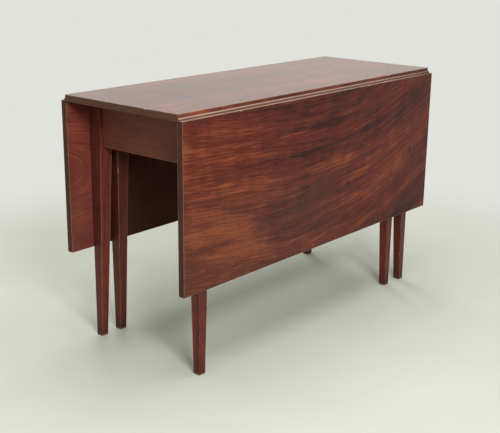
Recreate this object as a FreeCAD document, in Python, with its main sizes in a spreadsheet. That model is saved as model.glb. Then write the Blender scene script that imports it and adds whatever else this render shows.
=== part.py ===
import FreeCAD, Part
import math
import os
import Sketcher

# Drop-leaf dining table of about 1800: a fixed top on an open frame, two deep leaves on rule joints,
# four fixed corner legs and two swing legs on wooden knuckle hinges.
# X runs along the table, Y across it with the front leaf at -Y, Z up from the floor at mid-table.
# The two long sides are alike under a half turn about Z, so what belongs to a side or an end is drawn
# once, for the back side or the left end, and turned for the other.

# Driving dimensions, in millimetres
SIZES = {
    # Top and leaves; a leaf's width is measured from its hinge line
    "table_height": 724,
    "top_length": 1182,
    "joint_width": 426,
    "board_thick": 19,
    "front_leaf_width": 457,
    "back_leaf_width": 434,
    # Rule joint: square fillet, and the gap between the round and the cove
    "rule_fillet": 10,
    "rule_gap": 0.4,
    # Legs, tapered from the rails to the foot
    "leg_top": 42,
    "leg_foot": 22,
    "end_overhang": 78,
    "leaf_clearance": 2.2,
    # Rails and their tenons
    "rail_depth": 133,
    "end_rail_thick": 20,
    "end_rail_setback": 11,
    "inner_rail_thick": 17,
    "inner_rail_setback": 1,
    "side_rail_setback": 4,
    "tenon_thick": 8,
    "tenon_shoulder": 12,
    "tenon_land": 3,
    "end_tenon_length": 24,
    "fly_tenon_length": 25,
    "mortise_slack": 1,
    # Swing legs and their knuckle hinges
    "front_swing_gap": 32,
    "back_swing_gap": 17,
    "knuckle_offset": 20,
    "knuckle_pin_radius": 3,
    "finger_gap": 0.5,
    "gate_gap": 0.5,
    "pin_clearance": 0.05,
    # Iron leaf hinges
    "hinge_width": 40,
    "hinge_end_distance": 190,
    "barrel_radius": 2.8,
    "hinge_pin_radius": 1.3,
    "plate_thick": 2,
    "top_plate_reach": 34,
    "leaf_plate_reach": 62,
    "hinge_fit": 0.3,
    # Screws, and the pockets of those that hold the top down
    "hinge_screw_radius": 1.5,
    "hinge_screw_head": 3,
    "hinge_screw_length": 13,
    "frame_screw_radius": 2.2,
    "frame_screw_head": 4.4,
    "frame_screw_length": 28,
    "top_screw_bite": 12,
    "screw_fit": 0.05,
    "pocket_depth": 11,
    "pocket_drop": 30,
    "pocket_width": 14,
    # Glue blocks
    "block_side": 22,
    "block_length": 80,
    # How far a cut runs past the face that it opens
    "overrun": 5,
}

# Counts and shares
FINGERS = 5
KNUCKLE_PARTS = 3
SCREW_SIDES = 8
SCREW_KINDS = ("hinge", "frame")
TOP_PLATE_SCREW_SHARES = ((-0.28, 0.62), (0.28, 0.62))
LEAF_PLATE_SCREW_SHARES = ((-0.28, 0.85), (0.28, 0.85), (0, 0.5))
RAIL_SCREW_SHARES = (0.15, 0.85)
TOP_SCREW_SHARES = (-0.72, 0, 0.72)
SIDE_BLOCK_SHARES = {"left": -0.4, "right": 0.4}
HINGES = {"left": -1, "right": 1}

# Half turn that takes a back piece to the front, or a left piece to the right
SIDES = {"back": 0, "front": 180}
ENDS = {"left": 0, "right": 180}
FORWARD, BACKWARD = 1, -1

# Ways that a screw at the back can point
UPWARDS = FreeCAD.Rotation()
OUTWARDS = FreeCAD.Rotation(FreeCAD.Vector(1, 0, 0), -90)

# Places worked out from the driving dimensions
UNDERSIDE = "(Sizes.table_height - Sizes.board_thick)"
RULE_RADIUS = "(Sizes.board_thick - Sizes.rule_fillet - Sizes.barrel_radius)"
COVE_RADIUS = f"({RULE_RADIUS} + Sizes.rule_gap)"
HINGE_Z = f"({UNDERSIDE} + Sizes.barrel_radius)"
HINGE_Y = "(Sizes.joint_width / 2)"
HINGE_X = "(Sizes.top_length / 2 - Sizes.hinge_end_distance)"
ROUND_EDGE = f"({HINGE_Y} + sqrt({RULE_RADIUS}^2 - Sizes.barrel_radius^2))"
LEAF_INNER = f"({HINGE_Y} - Sizes.barrel_radius)"
BARREL_ROOM = "(Sizes.barrel_radius + Sizes.hinge_fit)"
BORE = "(Sizes.hinge_pin_radius + Sizes.pin_clearance)"
KNUCKLE = f"(Sizes.hinge_width / {KNUCKLE_PARTS})"
LEG_X = "(Sizes.top_length / 2 - Sizes.end_overhang)"
LEG_Y = f"({LEAF_INNER} - Sizes.leaf_clearance)"
LEG_INNER_X = f"({LEG_X} - Sizes.leg_top)"
LEG_INNER_Y = f"({LEG_Y} - Sizes.leg_top)"
RAIL_FOOT = f"({UNDERSIDE} - Sizes.rail_depth)"
RAIL_MIDDLE = f"({UNDERSIDE} - Sizes.rail_depth / 2)"
TENON_HEIGHT = "(Sizes.rail_depth - 2 * Sizes.tenon_shoulder)"
END_OUTER = f"({LEG_X} - Sizes.end_rail_setback)"
END_INNER = f"({END_OUTER} - Sizes.end_rail_thick)"
END_MIDDLE = f"({END_OUTER} - Sizes.end_rail_thick / 2)"
SIDE_TENON = (
    f"(Sizes.leg_top - Sizes.end_rail_setback - Sizes.end_rail_thick / 2"
    f" - Sizes.tenon_thick / 2 - Sizes.tenon_land)"
)
GATE_OUTER = f"({LEG_Y} - Sizes.side_rail_setback)"
RAIL_INNER = f"({LEG_INNER_Y} + Sizes.inner_rail_setback)"
RAIL_FACE = f"({RAIL_INNER} + Sizes.inner_rail_thick)"
RAIL_HEART = f"({RAIL_INNER} + Sizes.inner_rail_thick / 2)"
PIVOT_X = "(-Sizes.knuckle_offset)"
PIVOT_Y = f"(({GATE_OUTER} + {RAIL_FACE}) / 2)"
KNUCKLE_RADIUS = f"(({GATE_OUTER} - {RAIL_FACE}) / 2)"
SOCKET = f"({KNUCKLE_RADIUS} + Sizes.gate_gap)"
FINGER = f"(Sizes.rail_depth / {FINGERS})"
GATE_TOP = f"({UNDERSIDE} - Sizes.gate_gap)"
POCKET_SEAT = f"({UNDERSIDE} - Sizes.frame_screw_length + Sizes.top_screw_bite)"
POCKET_Y = f"({RAIL_INNER} + Sizes.pocket_depth / 2)"

doc = FreeCAD.newDocument("drop_leaf_table")
sheet = doc.addObject("Spreadsheet::Sheet", "Sizes")
for row, (alias, number) in enumerate(SIZES.items(), start=1):
    sheet.set(f"A{row}", alias)
    sheet.set(f"B{row}", str(number))
    sheet.setAlias(f"B{row}", alias)
doc.recompute()

pieces = []


# Drawing and cutting

def value(expression):
    """Number that an expression on the sheet comes to."""
    return float(sheet.evalExpression(expression))


def half_turn(degrees):
    """Placement turned about the upright axis at mid-table."""
    return FreeCAD.Placement(FreeCAD.Vector(), FreeCAD.Rotation(FreeCAD.Vector(0, 0, 1), degrees))


def new_piece(label, turn=0):
    """Body of one sub-part, turned about Z to its own side or end."""
    body = doc.addObject("PartDesign::Body", label)
    body.Label = label
    body.Placement = half_turn(turn)
    pieces.append(body)
    return body


def new_sketch(body, plane, offset="0"):
    """Sketch on one of the body's own origin planes, moved along that plane's normal."""
    sketch = body.newObject("Sketcher::SketchObject", f"{body.Name}_sketch")
    support = next(item for item in body.Origin.OriginFeatures if item.Role == f"{plane}_Plane")
    sketch.AttachmentSupport = [(support, "")]
    sketch.MapMode = "FlatFace"
    sketch.setExpression("AttachmentOffset.Base.z", offset)
    return sketch


def tie(sketch, kind, geometry, point, expression):
    """Binds a point's distance from the sketch's origin, along one axis, to an expression."""
    constraint = Sketcher.Constraint(kind, -1, 1, geometry, point, value(expression))
    sketch.setExpression(f"Constraints[{sketch.addConstraint(constraint)}]", expression)


def arc_between(start, end, centre, direction):
    """Arc about a centre, with the sketch's numbers for its first and last point as it is walked."""
    first, last = (start, end) if direction == FORWARD else (end, start)
    angles = [math.atan2(point.y - centre.y, point.x - centre.x) for point in (first, last)]
    circle_line = Part.Circle(centre, FreeCAD.Vector(0, 0, 1), (start - centre).Length)
    ends = (1, 2) if direction == FORWARD else (2, 1)
    return Part.ArcOfCircle(circle_line, *angles), ends


def outline(sketch, corners):
    """Closed outline; a corner may carry the centre and direction of the arc that leaves it."""
    points = [FreeCAD.Vector(value(corner[0]), value(corner[1]), 0) for corner in corners]
    walked = []
    for number, corner in enumerate(corners):
        start, end = points[number], points[(number + 1) % len(points)]
        line, ends = Part.LineSegment(start, end), (1, 2)
        if len(corner) > 2:
            centre = FreeCAD.Vector(value(corner[2]), value(corner[3]), 0)
            line, ends = arc_between(start, end, centre, corner[4])
        walked.append((sketch.addGeometry(line, False), *ends))
    for number, (geometry, first, last) in enumerate(walked):
        following = walked[(number + 1) % len(walked)]
        sketch.addConstraint(Sketcher.Constraint("Coincident", geometry, last, following[0], following[1]))
    for corner, (geometry, first, last) in zip(corners, walked):
        tie(sketch, "DistanceX", geometry, first, corner[0])
        tie(sketch, "DistanceY", geometry, first, corner[1])
        if len(corner) > 2:
            tie(sketch, "DistanceX", geometry, 3, corner[2])


def rectangle(sketch, left, right, low, high):
    """Closed rectangle between four expressions."""
    outline(sketch, ((left, low), (right, low), (right, high), (left, high)))


def circle(sketch, across, up, radius):
    """Full circle about a point."""
    centre = FreeCAD.Vector(value(across), value(up), 0)
    geometry = sketch.addGeometry(Part.Circle(centre, FreeCAD.Vector(0, 0, 1), value(radius)), False)
    tie(sketch, "DistanceX", geometry, 3, across)
    tie(sketch, "DistanceY", geometry, 3, up)
    index = sketch.addConstraint(Sketcher.Constraint("Radius", geometry, value(radius)))
    sketch.setExpression(f"Constraints[{index}]", radius)


def pad(body, sketch, length):
    """Solid of a given length, half of it each side of the sketch."""
    feature = body.newObject("PartDesign::Pad", f"{body.Name}_pad")
    feature.Profile = sketch
    feature.SideType = "Symmetric"
    feature.setExpression("Length", length)
    return feature


def pocket(body, sketch, length=None):
    """Cut of a given length, half of it each side of the sketch, or right through."""
    feature = body.newObject("PartDesign::Pocket", f"{body.Name}_pocket")
    feature.Profile = sketch
    feature.SideType = "Symmetric"
    if length is None:
        feature.Type = "ThroughAll"
    else:
        feature.setExpression("Length", length)
    return feature


def blind_cut(body, sketch, depth):
    """Cut from the sketch's face to a depth; the other half of the cut is in the open."""
    return pocket(body, sketch, f"2 * ({depth})")


def repeat_up(body, feature, count, pitch):
    """Repeats a cut upwards at an even pitch."""
    pattern = body.newObject("PartDesign::LinearPattern", f"{body.Name}_pattern")
    pattern.Originals = [feature]
    upright = next(item for item in body.Origin.OriginFeatures if item.Role == "Z_Axis")
    pattern.Direction = (upright, [""])
    pattern.Occurrences = count
    pattern.setExpression("Length", f"{count - 1} * {pitch}")
    body.Tip = pattern


def drill(body, *rooms):
    """Cuts the room of sets of screws out of a piece, and keeps the drilled piece in its place."""
    label = body.Label
    body.Label = f"{label}_blank"
    tools = doc.addObject("Part::Compound", f"{label}_screw_room")
    tools.Links = list(rooms)
    drilled = doc.addObject("Part::Cut", f"{label}_drilled")
    drilled.Base = body
    drilled.Tool = tools
    drilled.Label = label
    pieces[pieces.index(body)] = drilled


def times(share, expression):
    """Expression for a share of a size."""
    return f"({share} * {expression})"


def hinge_centre(place):
    """Place of a hinge along the table."""
    return times(place, HINGE_X)


def swing_leg_face(side):
    """Place along the table of the swing leg's face that meets the fly rail."""
    return f"(Sizes.{side}_swing_gap + Sizes.leg_top - {LEG_INNER_X})"


# Screws, placed for the back side

def screw_form(kind, fit="0", lead=None):
    """Flat-sided countersunk screw, its head at the origin; with a fit and a lead, the room for one."""
    head = f"(Sizes.{kind}_screw_head + {fit})"
    radius = f"(Sizes.{kind}_screw_radius + {fit})"
    tip = f"(Sizes.{kind}_screw_length + {fit})"
    stations = [(head, "0"), (radius, f"({head} - {radius})"), (radius, tip)]
    if lead is not None:
        stations.insert(0, (head, f"-{lead}"))
    rings = []
    for size, height in stations:
        ring = doc.addObject("Part::RegularPolygon", f"{kind}_screw_ring")
        ring.Polygon = SCREW_SIDES
        ring.setExpression("Circumradius", size)
        ring.setExpression("Placement.Base.z", height)
        rings.append(ring)
    form = doc.addObject("Part::Loft", f"{kind}_screw_form")
    form.Sections = rings
    form.Solid = True
    form.Ruled = True
    form.Linearize = True
    return form


def placed(form, name, spots, direction, turn):
    """Group of copies of one form, each at its own spot, turned to their side of the table."""
    copies = []
    for along, across, up in spots:
        copy = doc.addObject("App::Link", f"{name}_copy")
        copy.LinkedObject = form
        copy.Placement = FreeCAD.Placement(FreeCAD.Vector(), direction)
        copy.setExpression("Placement.Base.x", along)
        copy.setExpression("Placement.Base.y", across)
        copy.setExpression("Placement.Base.z", up)
        copies.append(copy)
    group = doc.addObject("Part::Compound", name)
    group.Links = copies
    group.Placement = half_turn(turn)
    return group


def screw_set(label, kind, spots, direction, turn):
    """One node of like screws, each a solid of its own; gives back the room that they take up."""
    pieces.append(placed(SCREWS[kind], label, spots, direction, turn))
    return placed(SCREW_ROOMS[kind], f"{label}_room", spots, direction, turn)


def plate_screw_spots(shares):
    """Places along the table, and shares of the plate's reach, of all the screws of one side's plates."""
    return [
        (f"({hinge_centre(place)} + {along} * Sizes.hinge_width)", reach)
        for place in HINGES.values()
        for along, reach in shares
    ]


def top_plate_screws(side):
    """Screws that hold the short hinge plates to the top."""
    spots = [
        (along, f"({HINGE_Y} - {reach} * Sizes.top_plate_reach)", UNDERSIDE)
        for along, reach in plate_screw_spots(TOP_PLATE_SCREW_SHARES)
    ]
    return screw_set(f"{side}_top_plate_screws", "hinge", spots, UPWARDS, SIDES[side])


def leaf_plate_screws(side):
    """Screws that hold the long hinge plates to the leaf."""
    spots = [
        (along, LEAF_INNER, f"({HINGE_Z} - {reach} * Sizes.leaf_plate_reach)")
        for along, reach in plate_screw_spots(LEAF_PLATE_SCREW_SHARES)
    ]
    return screw_set(f"{side}_leaf_plate_screws", "hinge", spots, OUTWARDS, SIDES[side])


def rail_screws(side):
    """Screws through the inner rail that hold the fixed outer rail."""
    spots = [
        (f"({PIVOT_X} + {share} * ({LEG_INNER_X} - {PIVOT_X}))", RAIL_INNER, RAIL_MIDDLE)
        for share in RAIL_SCREW_SHARES
    ]
    return screw_set(f"{side}_rail_screws", "frame", spots, OUTWARDS, SIDES[side])


def top_screw_places():
    """Places along the inner rail of the screws that hold the top down."""
    return [times(share, LEG_INNER_X) for share in TOP_SCREW_SHARES]


def top_screws(side):
    """Screws up through the inner rail's pockets that hold the top down."""
    spots = [(along, POCKET_Y, POCKET_SEAT) for along in top_screw_places()]
    return screw_set(f"{side}_top_screws", "frame", spots, UPWARDS, SIDES[side])


# Boards

def top_board(screw_rooms):
    """Fixed top, with the round of a rule joint along both sides and the hinges let in below."""
    body = new_piece("top_board")
    fillet_foot = "(Sizes.table_height - Sizes.rule_fillet)"
    section = new_sketch(body, "YZ")
    outline(section, (
        (f"-{HINGE_Y}", "Sizes.table_height"),
        (HINGE_Y, "Sizes.table_height"),
        (HINGE_Y, fillet_foot, HINGE_Y, HINGE_Z, BACKWARD),
        (ROUND_EDGE, UNDERSIDE),
        (f"-{ROUND_EDGE}", UNDERSIDE, f"-{HINGE_Y}", HINGE_Z, BACKWARD),
        (f"-{HINGE_Y}", fillet_foot),
    ))
    pad(body, section, "Sizes.top_length")
    let_in_hinges(body)
    drill(body, *screw_rooms)


def let_in_hinges(body):
    """Recesses in the underside for the hinge plates, and grooves for their barrels."""
    plates = new_sketch(body, "XY", UNDERSIDE)
    swings = new_sketch(body, "XY", UNDERSIDE)
    half_width = "(Sizes.hinge_width / 2 + Sizes.hinge_fit)"
    plate_end = f"({HINGE_Y} - Sizes.top_plate_reach - Sizes.hinge_fit)"
    open_end = f"({ROUND_EDGE} + Sizes.overrun)"
    for place in HINGES.values():
        left = f"({hinge_centre(place)} - {half_width})"
        right = f"({hinge_centre(place)} + {half_width})"
        for side in ("", "-"):
            rectangle(plates, left, right, f"{side}{plate_end}", f"{side}{HINGE_Y}")
            rectangle(swings, left, right, f"{side}{HINGE_Y}", f"{side}{open_end}")
    blind_cut(body, plates, "Sizes.plate_thick")
    blind_cut(body, swings, "Sizes.plate_thick + Sizes.hinge_fit")
    for place in HINGES.values():
        groove = new_sketch(body, "YZ", hinge_centre(place))
        for side in ("", "-"):
            circle(groove, f"{side}{HINGE_Y}", HINGE_Z, BARREL_ROOM)
        pocket(body, groove, f"2 * {half_width}")


def leaf(side, screw_room):
    """Hanging leaf, with the cove and fillet of a rule joint along its upper edge."""
    body = new_piece(f"{side}_leaf", SIDES[side])
    outer = f"({HINGE_Y} + {RULE_RADIUS} + Sizes.rule_fillet)"
    fillet_face = f"({HINGE_Z} - Sizes.rule_gap)"
    bottom = f"({HINGE_Z} - Sizes.{side}_leaf_width)"
    cove_top = f"({HINGE_Y} + sqrt({COVE_RADIUS}^2 - Sizes.rule_gap^2))"
    cove_foot = f"({HINGE_Z} - sqrt({COVE_RADIUS}^2 - Sizes.barrel_radius^2))"
    section = new_sketch(body, "YZ")
    outline(section, (
        (cove_top, fillet_face),
        (outer, fillet_face),
        (outer, bottom),
        (LEAF_INNER, bottom),
        (LEAF_INNER, cove_foot, HINGE_Y, HINGE_Z, FORWARD),
    ))
    pad(body, section, "Sizes.top_length")
    plates = new_sketch(body, "XZ", f"-{LEAF_INNER}")
    half_width = "(Sizes.hinge_width / 2 + Sizes.hinge_fit)"
    plate_end = f"({HINGE_Z} - Sizes.leaf_plate_reach - Sizes.hinge_fit)"
    for place in HINGES.values():
        centre = hinge_centre(place)
        rectangle(plates, f"{centre} - {half_width}", f"{centre} + {half_width}", plate_end, HINGE_Z)
    blind_cut(body, plates, "Sizes.plate_thick")
    drill(body, screw_room)


# Legs

def corner_leg(label, hand, turn):
    """Fixed leg: outer faces upright, inner faces tapered below the rails, mortised for two rails."""
    body = new_piece(label, turn)
    outer, inner = times(hand, LEG_X), times(hand, LEG_INNER_X)
    foot_x = times(hand, f"({LEG_X} - Sizes.leg_foot)")
    foot_y = f"({LEG_Y} - Sizes.leg_foot)"
    blank = new_sketch(body, "XY", f"{UNDERSIDE} / 2")
    rectangle(blank, inner, outer, LEG_INNER_Y, LEG_Y)
    pad(body, blank, UNDERSIDE)
    taper_along = new_sketch(body, "XZ")
    outline(taper_along, ((inner, RAIL_FOOT), (inner, "0"), (foot_x, "0")))
    pocket(body, taper_along)
    taper_across = new_sketch(body, "YZ")
    outline(taper_across, ((LEG_INNER_Y, RAIL_FOOT), (LEG_INNER_Y, "0"), (foot_y, "0")))
    pocket(body, taper_across)
    mortises = new_sketch(body, "XY", RAIL_MIDDLE)
    end_cheeks = [times(hand, f"({END_MIDDLE} {sign} Sizes.tenon_thick / 2)") for sign in "-+"]
    end_depth = f"({LEG_INNER_Y} + Sizes.end_tenon_length + Sizes.mortise_slack)"
    rectangle(mortises, *end_cheeks, LEG_INNER_Y, end_depth)
    side_depth = times(hand, f"({LEG_INNER_X} + {SIDE_TENON} + Sizes.mortise_slack)")
    side_cheeks = [f"({RAIL_HEART} {sign} Sizes.tenon_thick / 2)" for sign in "-+"]
    rectangle(mortises, inner, side_depth, *side_cheeks)
    pocket(body, mortises, TENON_HEIGHT)


def swing_leg(side):
    """Swing leg: tapered on three faces, and cut away above to close over the inner rail."""
    body = new_piece(f"{side}_swing_leg", SIDES[side])
    face = swing_leg_face(side)
    middle = f"({face} - Sizes.leg_top / 2)"
    inner = f"({GATE_OUTER} - Sizes.leg_top)"
    blank = new_sketch(body, "XY", f"{GATE_TOP} / 2")
    rectangle(blank, f"{face} - Sizes.leg_top", face, inner, GATE_OUTER)
    pad(body, blank, GATE_TOP)
    tapers = new_sketch(body, "XZ")
    for sign in "-+":
        head = f"({middle} {sign} Sizes.leg_top / 2)"
        foot = f"({middle} {sign} Sizes.leg_foot / 2)"
        outline(tapers, ((head, RAIL_FOOT), (head, "0"), (foot, "0")))
    pocket(body, tapers)
    taper_across = new_sketch(body, "YZ")
    outline(taper_across, ((inner, RAIL_FOOT), (inner, "0"), (f"{GATE_OUTER} - Sizes.leg_foot", "0")))
    pocket(body, taper_across)
    lap = new_sketch(body, "YZ")
    lap_face = f"({RAIL_FACE} + Sizes.gate_gap)"
    lap_foot = f"({RAIL_FOOT} - Sizes.gate_gap)"
    rectangle(lap, f"{inner} - Sizes.overrun", lap_face, lap_foot, f"{GATE_TOP} + Sizes.overrun")
    pocket(body, lap)
    mortise = new_sketch(body, "XY", RAIL_MIDDLE)
    mortise_end = f"({face} - Sizes.fly_tenon_length - Sizes.mortise_slack)"
    cheeks = [f"({PIVOT_Y} {sign} Sizes.tenon_thick / 2)" for sign in "-+"]
    rectangle(mortise, mortise_end, face, *cheeks)
    pocket(body, mortise, TENON_HEIGHT)


# Rails

def end_rail(end):
    """End rail, set back from the legs' faces, with a tenon at each end."""
    body = new_piece(f"{end}_end_rail", ENDS[end])
    board = new_sketch(body, "XY", RAIL_MIDDLE)
    rectangle(board, f"-{END_OUTER}", f"-{END_INNER}", f"-{LEG_INNER_Y}", LEG_INNER_Y)
    pad(body, board, "Sizes.rail_depth")
    tenons = new_sketch(body, "XY", RAIL_MIDDLE)
    cheeks = [f"(-{END_MIDDLE} {sign} Sizes.tenon_thick / 2)" for sign in "-+"]
    reach = f"({LEG_INNER_Y} + Sizes.end_tenon_length)"
    rectangle(tenons, *cheeks, f"-{reach}", reach)
    pad(body, tenons, TENON_HEIGHT)


def inner_rail(side, *screw_rooms):
    """Long inner rail, tenoned to both corner legs, with pockets for the screws that hold the top down."""
    body = new_piece(f"{side}_inner_rail", SIDES[side])
    board = new_sketch(body, "XY", RAIL_MIDDLE)
    rectangle(board, f"-{LEG_INNER_X}", LEG_INNER_X, RAIL_INNER, RAIL_FACE)
    pad(body, board, "Sizes.rail_depth")
    tenons = new_sketch(body, "XY", RAIL_MIDDLE)
    cheeks = [f"({RAIL_HEART} {sign} Sizes.tenon_thick / 2)" for sign in "-+"]
    reach = f"({LEG_INNER_X} + {SIDE_TENON})"
    rectangle(tenons, f"-{reach}", reach, *cheeks)
    pad(body, tenons, TENON_HEIGHT)
    for along in top_screw_places():
        screw_pocket(body, along)
    drill(body, *screw_rooms)


def screw_pocket(body, along):
    """Wedge-shaped pocket on the rail's inner face, with a level seat for a screw head."""
    wedge = new_sketch(body, "YZ", along)
    low = f"({POCKET_SEAT} - Sizes.pocket_drop)"
    outline(wedge, (
        (f"{RAIL_INNER} - Sizes.overrun", POCKET_SEAT),
        (f"{RAIL_INNER} - Sizes.overrun", low),
        (RAIL_INNER, low),
        (f"{RAIL_INNER} + Sizes.pocket_depth", POCKET_SEAT),
    ))
    pocket(body, wedge, "Sizes.pocket_width")


def fixed_rail(side, screw_room):
    """Fixed half of the outer rail: round knuckle fingers at one end, the corner leg at the other."""
    body = new_piece(f"{side}_fixed_rail", SIDES[side])
    board = new_sketch(body, "XY", RAIL_MIDDLE)
    outline(board, (
        (LEG_INNER_X, RAIL_FACE),
        (LEG_INNER_X, GATE_OUTER),
        (PIVOT_X, GATE_OUTER, PIVOT_X, PIVOT_Y, FORWARD),
        (PIVOT_X, RAIL_FACE),
    ))
    pad(body, board, "Sizes.rail_depth")
    socket = new_sketch(body, "XY", f"{RAIL_FOOT} + {FINGER} + {FINGER} / 2")
    socket_open = f"({PIVOT_X} - {KNUCKLE_RADIUS} - Sizes.overrun)"
    faces = (f"{RAIL_FACE} - Sizes.overrun", f"{GATE_OUTER} + Sizes.overrun")
    rectangle(socket, socket_open, f"{PIVOT_X} + {SOCKET}", *faces)
    repeat_up(body, pocket(body, socket, FINGER), FINGERS // 2, f"2 * {FINGER}")
    knuckle_bore(body)
    drill(body, screw_room)


def fly_rail(side):
    """Swinging half of the outer rail: fingers at the pivot, and a tenon to the swing leg."""
    body = new_piece(f"{side}_fly_rail", SIDES[side])
    face = swing_leg_face(side)
    outer, inner = f"({GATE_OUTER} - Sizes.gate_gap)", f"({RAIL_FACE} + Sizes.gate_gap)"
    board = new_sketch(body, "XY", f"({RAIL_FOOT} + {GATE_TOP}) / 2")
    outline(board, (
        (face, inner),
        (PIVOT_X, inner, PIVOT_X, PIVOT_Y, FORWARD),
        (PIVOT_X, outer),
        (face, outer),
    ))
    pad(body, board, "Sizes.rail_depth - Sizes.gate_gap")
    tenon = new_sketch(body, "XY", RAIL_MIDDLE)
    cheeks = [f"({PIVOT_Y} {sign} Sizes.tenon_thick / 2)" for sign in "-+"]
    rectangle(tenon, f"{face} - Sizes.fly_tenon_length", f"{face} + Sizes.overrun", *cheeks)
    pad(body, tenon, TENON_HEIGHT)
    socket = new_sketch(body, "XY", f"{RAIL_FOOT} + {FINGER} / 2")
    socket_open = f"({PIVOT_X} + {KNUCKLE_RADIUS} + Sizes.overrun)"
    faces = (f"{inner} - Sizes.overrun", f"{outer} + Sizes.overrun")
    rectangle(socket, f"{PIVOT_X} - {SOCKET}", socket_open, *faces)
    cut = pocket(body, socket, f"{FINGER} + Sizes.finger_gap")
    repeat_up(body, cut, FINGERS // 2 + 1, f"2 * {FINGER}")
    knuckle_bore(body)


def knuckle_bore(body):
    """Upright hole through the fingers for the knuckle pin."""
    bore = new_sketch(body, "XY", RAIL_MIDDLE)
    circle(bore, PIVOT_X, PIVOT_Y, "Sizes.knuckle_pin_radius + Sizes.pin_clearance")
    pocket(body, bore)


def knuckle_pin(side):
    """Iron rod that the swing leg's rail turns on."""
    body = new_piece(f"{side}_knuckle_pin", SIDES[side])
    section = new_sketch(body, "XY", f"({RAIL_FOOT} + {GATE_TOP}) / 2")
    circle(section, PIVOT_X, PIVOT_Y, "Sizes.knuckle_pin_radius")
    pad(body, section, "Sizes.rail_depth - Sizes.gate_gap")


# Leaf hinges

def top_plate(label, place, turn, screw_room):
    """Short hinge plate under the top, with the two outer barrels."""
    body = new_piece(label, turn)
    centre = hinge_centre(place)
    plate = new_sketch(body, "XY", f"{UNDERSIDE} + Sizes.plate_thick / 2")
    ends = [f"({centre} {sign} Sizes.hinge_width / 2)" for sign in "-+"]
    rectangle(plate, *ends, f"{HINGE_Y} - Sizes.top_plate_reach", HINGE_Y)
    pad(body, plate, "Sizes.plate_thick")
    barrel = new_sketch(body, "YZ", centre)
    circle(barrel, HINGE_Y, HINGE_Z, "Sizes.barrel_radius")
    pad(body, barrel, "Sizes.hinge_width")
    gap = new_sketch(body, "YZ", centre)
    room = [f"({HINGE_Y} {sign} {BARREL_ROOM})" for sign in "-+"]
    rectangle(gap, *room, f"{HINGE_Z} - {BARREL_ROOM}", f"{HINGE_Z} + {BARREL_ROOM}")
    pocket(body, gap, f"{KNUCKLE} + 2 * Sizes.hinge_fit")
    hinge_bore(body, centre)
    drill(body, screw_room)


def leaf_plate(label, place, turn, screw_room):
    """Long hinge plate on the leaf's inner face, with the middle barrel on a tongue."""
    body = new_piece(label, turn)
    centre = hinge_centre(place)
    plate = new_sketch(body, "XZ", f"-({LEAF_INNER} + Sizes.plate_thick / 2)")
    left, right = [f"({centre} {sign} Sizes.hinge_width / 2)" for sign in "-+"]
    tongue_left, tongue_right = [f"({centre} {sign} {KNUCKLE} / 2)" for sign in "-+"]
    low, shoulder = f"({HINGE_Z} - Sizes.leaf_plate_reach)", f"({HINGE_Z} - {BARREL_ROOM})"
    outline(plate, (
        (left, low),
        (right, low),
        (right, shoulder),
        (tongue_right, shoulder),
        (tongue_right, HINGE_Z),
        (tongue_left, HINGE_Z),
        (tongue_left, shoulder),
        (left, shoulder),
    ))
    pad(body, plate, "Sizes.plate_thick")
    barrel = new_sketch(body, "YZ", centre)
    circle(barrel, HINGE_Y, HINGE_Z, "Sizes.barrel_radius")
    pad(body, barrel, KNUCKLE)
    hinge_bore(body, centre)
    drill(body, screw_room)


def hinge_bore(body, centre):
    """Hole through a plate's barrels for the hinge pin."""
    bore = new_sketch(body, "YZ", centre)
    circle(bore, HINGE_Y, HINGE_Z, BORE)
    pocket(body, bore, "Sizes.hinge_width + Sizes.overrun")


def hinge_pin(label, place, turn):
    """Pin through the three barrels of a leaf hinge."""
    body = new_piece(label, turn)
    section = new_sketch(body, "YZ", hinge_centre(place))
    circle(section, HINGE_Y, HINGE_Z, "Sizes.hinge_pin_radius")
    pad(body, section, "Sizes.hinge_width")


# Glue blocks

def side_glue_block(side, name, share):
    """Three-cornered block glued between an inner rail and the top."""
    body = new_piece(f"{side}_{name}_glue_block", SIDES[side])
    section = new_sketch(body, "YZ", times(share, LEG_INNER_X))
    outline(section, (
        (RAIL_INNER, UNDERSIDE),
        (f"{RAIL_INNER} - Sizes.block_side", UNDERSIDE),
        (RAIL_INNER, f"{UNDERSIDE} - Sizes.block_side"),
    ))
    pad(body, section, "Sizes.block_length")


def end_glue_block(end):
    """Three-cornered block glued between an end rail and the top."""
    body = new_piece(f"{end}_end_glue_block", ENDS[end])
    section = new_sketch(body, "XZ")
    outline(section, (
        (f"-{END_INNER}", UNDERSIDE),
        (f"-{END_INNER} + Sizes.block_side", UNDERSIDE),
        (f"-{END_INNER}", f"{UNDERSIDE} - Sizes.block_side"),
    ))
    pad(body, section, "Sizes.block_length")


# The whole table

def build_side(side):
    """All pieces of one long side; gives back the room of the screws that reach into the top."""
    turn = SIDES[side]
    facing = FORWARD if side == "back" else BACKWARD
    in_top_plates, in_leaf_plates = top_plate_screws(side), leaf_plate_screws(side)
    in_rails, in_pockets = rail_screws(side), top_screws(side)
    leaf(side, in_leaf_plates)
    swing_leg(side)
    inner_rail(side, in_rails, in_pockets)
    fixed_rail(side, in_rails)
    fly_rail(side)
    knuckle_pin(side)
    for name, place in HINGES.items():
        top_plate(f"{side}_{name}_top_plate", facing * place, turn, in_top_plates)
        leaf_plate(f"{side}_{name}_leaf_plate", facing * place, turn, in_leaf_plates)
        hinge_pin(f"{side}_{name}_hinge_pin", facing * place, turn)
    for name, share in SIDE_BLOCK_SHARES.items():
        side_glue_block(side, name, facing * share)
    return in_top_plates, in_pockets


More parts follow.
